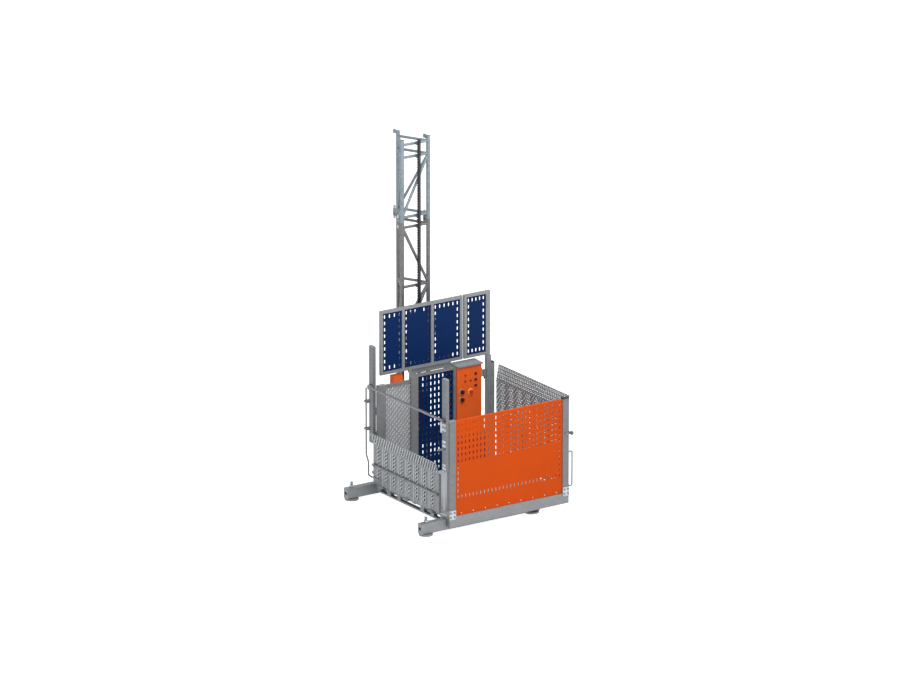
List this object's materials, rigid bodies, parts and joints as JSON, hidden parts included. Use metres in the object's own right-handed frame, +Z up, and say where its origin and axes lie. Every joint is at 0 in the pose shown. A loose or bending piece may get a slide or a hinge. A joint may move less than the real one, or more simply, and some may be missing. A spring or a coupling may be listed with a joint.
{
  "type": "rack-and-pinion transport platform lift",
  "caption": "Building site cargo lift: an open platform with fold-down ramp, flap and barrier climbs a triangular lattice mast on a toothed rack.",
  "frame": {"origin": "mast axis at the ground, on the underside of the mast base plate", "axes": "+Z up along the mast, +X to the right along the front wall, +Y from the front wall to the mast"},
  "size_m": [2.002, 2.275, 4.0073],
  "materials": {
    "galvanised": "hot-dip galvanised",
    "mast_steel": "galvanised tube",
    "rack_steel": "greased dark steel",
    "orange_paint": "satin powder coat",
    "blue_paint": "satin powder coat",
    "motor_paint": "satin enamel",
    "machine_grey": "satin enamel",
    "dark_steel": "blackened",
    "black_plastic": "moulded",
    "red_plastic": "moulded",
    "rubber": "moulded"
  },
  "bodies": {
    "base": {"base_front_beam": "galvanised", "base_rear_beam": "galvanised", "base_side_rails": "galvanised", "landing_buffers": "rubber", "mast_base": "galvanised", "mast_section_lower": "mast_steel", "mast_section_middle": "mast_steel", "mast_section_top": "mast_steel", "mast_rack": "rack_steel", "mast_joint_bolts": "mast_steel"},
    "car": {"floor_frame": "galvanised", "floor_plate": "galvanised", "front_apron": "galvanised", "front_posts": "galvanised", "front_panel": "orange_paint", "post_caps": "black_plastic", "rear_frame": "galvanised", "grey_mesh_panels": "galvanised", "blue_sheets": "blue_paint", "upper_guard_frame": "galvanised", "hinge_pins": "galvanised", "cabinet_housing": "machine_grey", "cabinet_hood": "machine_grey", "cabinet_switchgear": "black_plastic", "gate_posts": "galvanised", "stay_chain": "galvanised", "junction_box": "orange_paint", "carriage_frame": "galvanised", "roller_axles": "dark_steel", "drive_gearbox": "motor_paint", "drive_motor": "motor_paint", "governor_housing": "machine_grey"},
    "ramp": {"ramp_panel": "galvanised", "ramp_bar": "dark_steel"},
    "push_rod": {"ramp_push_rod": "galvanised"},
    "flap": {"flap_panel": "galvanised", "flap_handle": "galvanised"},
    "flap_latch": {"flap_latch": "black_plastic"},
    "barrier": {"barrier_bar": "galvanised"},
    "barrier_latch": {"barrier_latch": "galvanised"},
    "mast_gate": {"mast_gate_frame": "galvanised", "mast_gate_sheet": "blue_paint"},
    "cabinet_door": {"cabinet_door": "orange_paint", "control_bezels": "black_plastic"},
    "foot_front_left": {"foot_front_left": "galvanised"},
    "foot_front_right": {"foot_front_right": "galvanised"},
    "foot_rear_left": {"foot_rear_left": "galvanised"},
    "foot_rear_right": {"foot_rear_right": "galvanised"},
    "roller_lower_left": {"roller_lower_left": "dark_steel"},
    "roller_lower_right": {"roller_lower_right": "dark_steel"},
    "roller_upper_left": {"roller_upper_left": "dark_steel"},
    "roller_upper_right": {"roller_upper_right": "dark_steel"},
    "drive_pinion": {"drive_pinion": "rack_steel"},
    "governor_pinion": {"governor_pinion": "rack_steel"},
    "emergency_stop": {"emergency_stop": "red_plastic"},
    "button_up": {"button_up": "black_plastic"},
    "button_down": {"button_down": "black_plastic"},
    "button_call": {"button_call": "black_plastic"},
    "selector_switch": {"selector_switch": "black_plastic"},
    "main_switch": {"main_switch": "black_plastic"}
  },
  "joints": [
    {"name": "car_travel", "type": "slide", "parent": "base", "child": "car", "axis": [0, 0, 1], "range_m": [0, 2.1]},
    {"name": "roller_lower_left_spin", "type": "hinge", "parent": "car", "child": "roller_lower_left", "pos_m": [-0.23503, -0.10104, 0.45], "axis": [0, 1, 0], "range_deg": [0, 3010]},
    {"name": "roller_upper_left_spin", "type": "hinge", "parent": "car", "child": "roller_upper_left", "pos_m": [-0.23503, -0.10104, 1.75], "axis": [0, 1, 0], "range_deg": [0, 3010]},
    {"name": "roller_lower_right_spin", "type": "hinge", "parent": "car", "child": "roller_lower_right", "pos_m": [0.23503, -0.10104, 0.45], "axis": [0, 1, 0], "range_deg": [-3010, 0]},
    {"name": "roller_upper_right_spin", "type": "hinge", "parent": "car", "child": "roller_upper_right", "pos_m": [0.23503, -0.10104, 1.75], "axis": [0, 1, 0], "range_deg": [-3010, 0]},
    {"name": "drive_pinion_spin", "type": "hinge", "parent": "car", "child": "drive_pinion", "pos_m": [-0.064, -0.17204, 0.62376], "axis": [0, 1, 0], "range_deg": [0, 2230]},
    {"name": "governor_pinion_spin", "type": "hinge", "parent": "car", "child": "governor_pinion", "pos_m": [-0.064, -0.17204, 1.45314], "axis": [0, 1, 0], "range_deg": [0, 2230]},
    {"name": "ramp_hinge", "type": "hinge", "parent": "car", "child": "ramp", "pos_m": [-0.795, -1.092, 0.185], "axis": [0, -1, 0], "range_deg": [0, 104]},
    {"name": "push_rod_slide", "type": "slide", "parent": "car", "child": "push_rod", "axis": [0, 0, 1], "range_m": [-0.0917, 0]},
    {"name": "flap_hinge", "type": "hinge", "parent": "car", "child": "flap", "pos_m": [0.908, -1.162, 0.185], "axis": [0, 1, 0], "range_deg": [0, 90]},
    {"name": "flap_latch_turn", "type": "hinge", "parent": "flap", "child": "flap_latch", "pos_m": [0.883, -1.9, 0.88], "axis": [0, 1, 0], "range_deg": [0, 90]},
    {"name": "barrier_hinge", "type": "hinge", "parent": "car", "child": "barrier", "pos_m": [-0.798, -0.38, 1.307], "axis": [-1, 0, 0], "range_deg": [0, 90]},
    {"name": "barrier_latch_swing", "type": "hinge", "parent": "car", "child": "barrier_latch", "pos_m": [-0.816, -1.85, 1.2837], "axis": [1, 0, 0], "range_deg": [-30, 30]},
    {"name": "mast_gate_hinge", "type": "hinge", "parent": "car", "child": "mast_gate", "pos_m": [0.748, -0.44, 1.815], "axis": [0, 0, 1], "range_deg": [0, 90]},
    {"name": "cabinet_door_hinge", "type": "hinge", "parent": "car", "child": "cabinet_door", "pos_m": [0.638, -0.486, 0.962], "axis": [0, 0, 1], "range_deg": [0, 110]},
    {"name": "button_up_press", "type": "slide", "parent": "cabinet_door", "child": "button_up", "axis": [0, 1, 0], "range_m": [0, 0.004], "stiffness_N_per_m": 500, "springref_m": -0.002},
    {"name": "button_down_press", "type": "slide", "parent": "cabinet_door", "child": "button_down", "axis": [0, 1, 0], "range_m": [0, 0.004], "stiffness_N_per_m": 500, "springref_m": -0.002},
    {"name": "button_call_press", "type": "slide", "parent": "cabinet_door", "child": "button_call", "axis": [0, 1, 0], "range_m": [0, 0.004], "stiffness_N_per_m": 500, "springref_m": -0.002},
    {"name": "emergency_stop_press", "type": "slide", "parent": "cabinet_door", "child": "emergency_stop", "axis": [0, 1, 0], "range_m": [0, 0.004], "stiffness_N_per_m": 500, "springref_m": -0.002},
    {"name": "selector_switch_turn", "type": "hinge", "parent": "cabinet_door", "child": "selector_switch", "pos_m": [0.362, -0.4973, 1.075], "axis": [0, 1, 0], "range_deg": [-45, 45]},
    {"name": "main_switch_turn", "type": "hinge", "parent": "cabinet_door", "child": "main_switch", "pos_m": [0.362, -0.4973, 0.983], "axis": [0, 1, 0], "range_deg": [0, 90]},
    {"name": "foot_front_left_wind", "type": "slide", "parent": "base", "child": "foot_front_left", "axis": [0, 0, 1], "range_m": [-0.06, 0]},
    {"name": "foot_front_right_wind", "type": "slide", "parent": "base", "child": "foot_front_right", "axis": [0, 0, 1], "range_m": [-0.06, 0]},
    {"name": "foot_rear_left_wind", "type": "slide", "parent": "base", "child": "foot_rear_left", "axis": [0, 0, 1], "range_m": [-0.06, 0]},
    {"name": "foot_rear_right_wind", "type": "slide", "parent": "base", "child": "foot_rear_right", "axis": [0, 0, 1], "range_m": [-0.06, 0]}
  ],
  "couplings": [
    {"joint": "roller_lower_left_spin", "follows": "car_travel", "rad_per_m": 25},
    {"joint": "roller_upper_left_spin", "follows": "car_travel", "rad_per_m": 25},
    {"joint": "roller_lower_right_spin", "follows": "car_travel", "rad_per_m": -25},
    {"joint": "roller_upper_right_spin", "follows": "car_travel", "rad_per_m": -25},
    {"joint": "drive_pinion_spin", "follows": "car_travel", "rad_per_m": 18.519},
    {"joint": "governor_pinion_spin", "follows": "car_travel", "rad_per_m": 18.519},
    {"joint": "push_rod_slide", "follows": "ramp_hinge", "m_per_rad": -0.050246}
  ]
}
